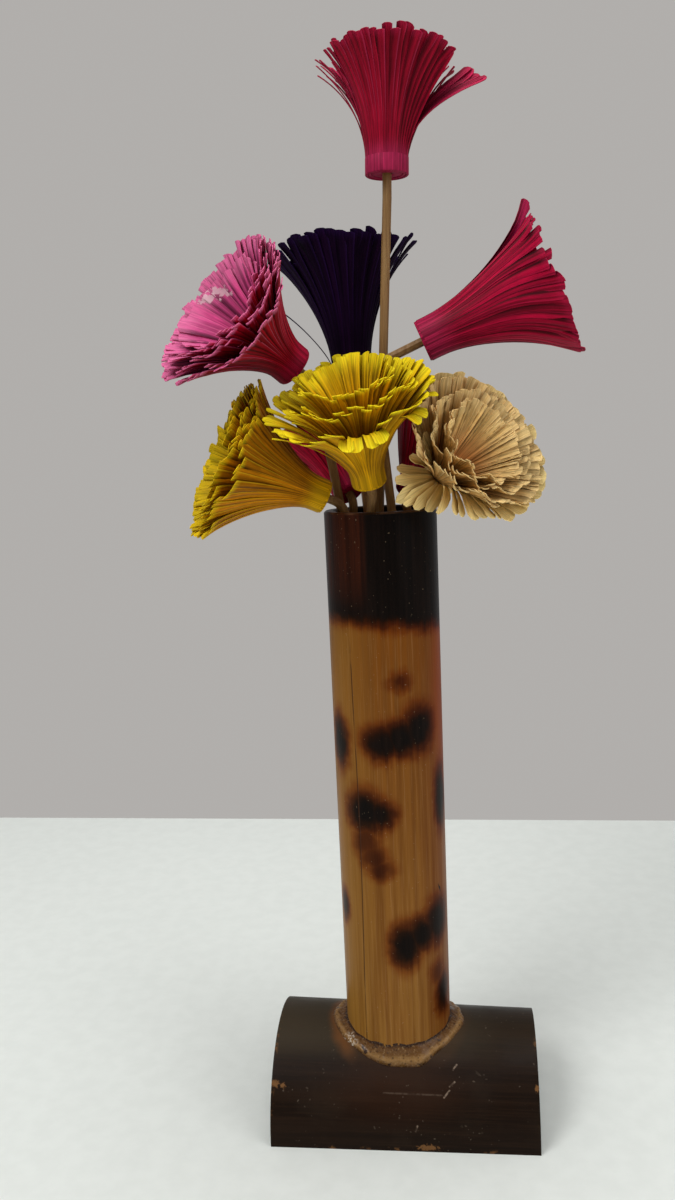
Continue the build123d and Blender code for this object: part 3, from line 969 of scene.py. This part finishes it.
def build_flower(flower, paints):
    """All rows of one flower, each standing for its CAD row."""
    rng = np.random.default_rng(flower.seed)
    matrix = head_matrix(flower)
    room = flower.collar / 2
    for order in range(len(flower.rows)):
        last = order == len(flower.rows) - 1
        inner = STEM_RADIUS + STEM_CLEARANCE if last else room - COLLAR_WALL
        sheets = Sheets()
        low, high = COLLAR_STEP_LOW * order, COLLAR_HEIGHT - COLLAR_STEP_HIGH * order
        add_collar(sheets, room, inner, low, high, rng)
        outside = order == 0 and not flower.band
        add_strips(sheets, flower, order, room + (ROOT_OUTSIDE if outside else ROOT_INSIDE), rng)
        node = f"{flower.name}_petals_{ROW_NAMES[order]}"
        row = sheets.build(f"{flower.name}_strips_{ROW_NAMES[order]}", matrix)
        dye = flower.outer_dye if order == 0 and flower.outer_dye else flower.dye
        row.data.materials.append(paints[dye])
        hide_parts(node)
        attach(row, flower.body)
        room = inner - ROW_GAP


# The glue: its top and outer edge with their gain at the sides, and how far it goes into tube and saddle
GLUE_SEED = 31
GLUE_POINTS = 192
GLUE_STEPS = 14
GLUE_TOP, GLUE_TOP_GAIN, GLUE_TOP_WAVE = 45.3, 2.0, 0.25
GLUE_EDGE, GLUE_EDGE_GAIN, GLUE_EDGE_WAVE = 28.9, 5.2, 0.35
GLUE_OFF_TUBE = 0.05
GLUE_IN_SADDLE = 0.15
GLUE_RIM_IN, GLUE_RIM_DOWN = 0.4, 0.5
GLUE_FOOT_IN, GLUE_FOOT_DOWN = 0.6, 0.8

# The glue's crest and the groove beside the tube
CREST_HEIGHT, CREST_WAVE, CREST_PLACE, CREST_WIDTH = 0.9, 0.3, 0.74, 0.17
GROOVE_DEPTH, GROOVE_PLACE, GROOVE_WIDTH = 0.2, 0.08, 0.08
PEBBLE_HEIGHT, PEBBLE_WAVES = 0.12, 9


def saddle_height(across, deep):
    """The height of the saddle's outside over a point of the table, in millimetres."""
    share = (across - BASE_SHIFT + BASE_LENGTH / 2) / BASE_LENGTH
    radius = BASE_RADIUS_LEFT + (BASE_RADIUS_RIGHT - BASE_RADIUS_LEFT) * share
    return np.sqrt(radius**2 - deep**2)


def ripple(turn, rng, waves):
    """A smooth random wave round a ring, about one unit high."""
    return sum(rng.normal(0, 0.5) * np.cos(wave * turn + rng.uniform(0, 2 * pi)) for wave in waves)


def bulge(share, place, width):
    return np.exp(-(((share - place) / width) ** 2))


def add_glue():
    """Glue and dust that close the gap between the tube and the round back of the saddle."""
    rng = np.random.default_rng(GLUE_SEED)
    count = GLUE_POINTS
    turn = np.arange(count) * 2 * pi / count
    share = np.linspace(0, 1, GLUE_STEPS)
    beside = np.cos(turn) ** 2
    tube = tube_radius(BASE_RADIUS_LEFT) + GLUE_OFF_TUBE
    top = GLUE_TOP + GLUE_TOP_GAIN * beside**2 + GLUE_TOP_WAVE * ripple(turn, rng, range(2, 20))
    edge = GLUE_EDGE + GLUE_EDGE_GAIN * beside + GLUE_EDGE_WAVE * ripple(turn, rng, range(2, 14))
    foot = saddle_height(edge * np.cos(turn), edge * np.sin(turn)) - GLUE_IN_SADDLE
    out, down = edge - tube, top - foot
    slant = np.hypot(out, down)
    lump = CREST_HEIGHT + CREST_WAVE * ripple(turn, rng, range(4, 40, 3))
    swell = np.outer(lump, bulge(share, CREST_PLACE, CREST_WIDTH))
    swell -= GROOVE_DEPTH * bulge(share, GROOVE_PLACE, GROOVE_WIDTH)
    pebbles = np.sin(PEBBLE_WAVES * share)[None] * ripple(turn, rng, range(20, 64, 4))[:, None]
    swell += PEBBLE_HEIGHT * pebbles
    radius = tube + np.outer(out, share) + swell * (down / slant)[:, None]
    height = top[:, None] - np.outer(down, share) + swell * (out / slant)[:, None]
    rim_radius = np.full((count, 1), tube - GLUE_RIM_IN)
    radius = np.concatenate([rim_radius, radius, (edge - GLUE_FOOT_IN)[:, None]], 1)
    height = np.concatenate([(top - GLUE_RIM_DOWN)[:, None], height, (foot - GLUE_FOOT_DOWN)[:, None]], 1)
    share = np.concatenate([[0], share, [1]])
    points = stacked(radius * np.cos(turn)[:, None], radius * np.sin(turn)[:, None], height)
    quads = ring_quads(count, len(share))[..., [0, 3, 2, 1]]
    place = stacked(share, (turn / (2 * pi))[:, None])
    sheets = Sheets()
    sheets.add(points, quads, place, place, place)
    ring = sheets.build("glue_ring", Matrix.Scale(MM, 4))
    ring.data.materials.append(glue_paint())
    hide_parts("glue_bead")
    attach(ring, "vase")


def paint_node(name, material):
    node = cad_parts[name]
    node.data.materials.clear()
    node.data.materials.append(material)


strip_paints = {name: strip_paint(dye) for name, dye in DYES.items()}
stick = stem_paint()
for flower in FLOWERS:
    build_flower(flower, strip_paints)
    paint_node(f"{flower.name}_stem", stick)
paint_node("culm_tube", culm_paint())
paint_node("saddle_base", saddle_paint())
add_glue()

# The table top: half its width, how far it goes back, and its colours
FLOOR_HALF = 1.3
FLOOR_REAR = 0.39
FLOOR_DARK = (0.77, 0.8, 0.76)
FLOOR_PALE = (0.8, 0.83, 0.79)

# Lamps: name, place, target, size and power
LAMPS = [
    ("key", (-0.75, -0.85, 1.45), (0, 0, 0.3), 0.8, 13),
    ("top", (0.1, 0.0, 1.6), (0, 0, 0.2), 1.0, 9),
    ("fill", (1.1, -0.7, 0.7), (0, 0, 0.25), 0.9, 4.4),
]
SOFT_LIGHT = (0.33, 0.33, 0.33, 1)
BACKDROP = (0.44, 0.425, 0.41, 1)

# The viewpoint, with the focal length and the picture's height in pixels
CAMERA_PLACE = (0.04112, -0.48828, 0.34619)
CAMERA_FORWARD = (-0.12839, 0.97934, -0.15624)
CAMERA_ROLL = radians(-2.538)
FOCAL_PIXELS = 1001.2
PICTURE_PIXELS = 1200
SENSOR_SIZE = 36.0


def add_floor():
    """A plain pale table top."""
    paint = Paint("pale_floor", Specular_IOR_Level=0.2)
    weave = paint.noise(paint.object_place(), 90, 4)
    colour = paint.mix(paint.step(0.3, 0.7, weave), FLOOR_DARK, FLOOR_PALE)
    paint.finish(colour, paint.step(0.3, 0.7, weave, 0.8, 0.9))
    mesh = bpy.data.meshes.new("floor")
    left, right, front, rear = -FLOOR_HALF, FLOOR_HALF, -FLOOR_HALF, FLOOR_REAR
    corners = [(left, front, 0), (right, front, 0), (right, rear, 0), (left, rear, 0)]
    mesh.from_pydata(corners, [], [(0, 1, 2, 3)])
    mesh.materials.append(paint.material)
    floor = put_in_scene("floor", mesh)


def add_lamp(name, place, target, size, power):
    data = bpy.data.lights.new(name, "AREA")
    data.shape = "DISK"
    data.size = size
    data.energy = power
    lamp = put_in_scene(name, data)
    lamp.location = place
    lamp.rotation_euler = (Vector(target) - Vector(place)).to_track_quat("-Z", "Y").to_euler()


def add_world():
    """Even soft light, and a plain grey backdrop for the camera."""
    world = bpy.data.worlds.new("studio")
    scene.world = world
    world.use_nodes = True
    tree = world.node_tree
    background = tree.nodes["Background"]
    path = tree.nodes.new("ShaderNodeLightPath")
    mix = tree.nodes.new("ShaderNodeMix")
    mix.data_type = "RGBA"
    tree.links.new(path.outputs["Is Camera Ray"], mix.inputs[0])
    mix.inputs[6].default_value = SOFT_LIGHT
    mix.inputs[7].default_value = BACKDROP
    tree.links.new(mix.outputs[2], background.inputs["Color"])


def add_camera():
    """The photograph's viewpoint: its lens, place, direction and slight roll."""
    data = bpy.data.cameras.new("camera")
    data.sensor_width = SENSOR_SIZE
    data.lens = SENSOR_SIZE * FOCAL_PIXELS / PICTURE_PIXELS
    forward = Vector(CAMERA_FORWARD).normalized()
    right = forward.cross(Vector((0, 0, 1))).normalized()
    up = right.cross(forward)
    roll = CAMERA_ROLL
    right, up = right * cos(roll) + up * sin(roll), up * cos(roll) - right * sin(roll)
    turn = Matrix((right, up, -forward)).transposed().to_4x4()
    camera = put_in_scene("camera", data)
    camera.matrix_world = Matrix.Translation(CAMERA_PLACE) @ turn
    scene.camera = camera


add_floor()
for lamp in LAMPS:
    add_lamp(*lamp)
add_world()
add_camera()
scene.view_settings.view_transform = "Standard"
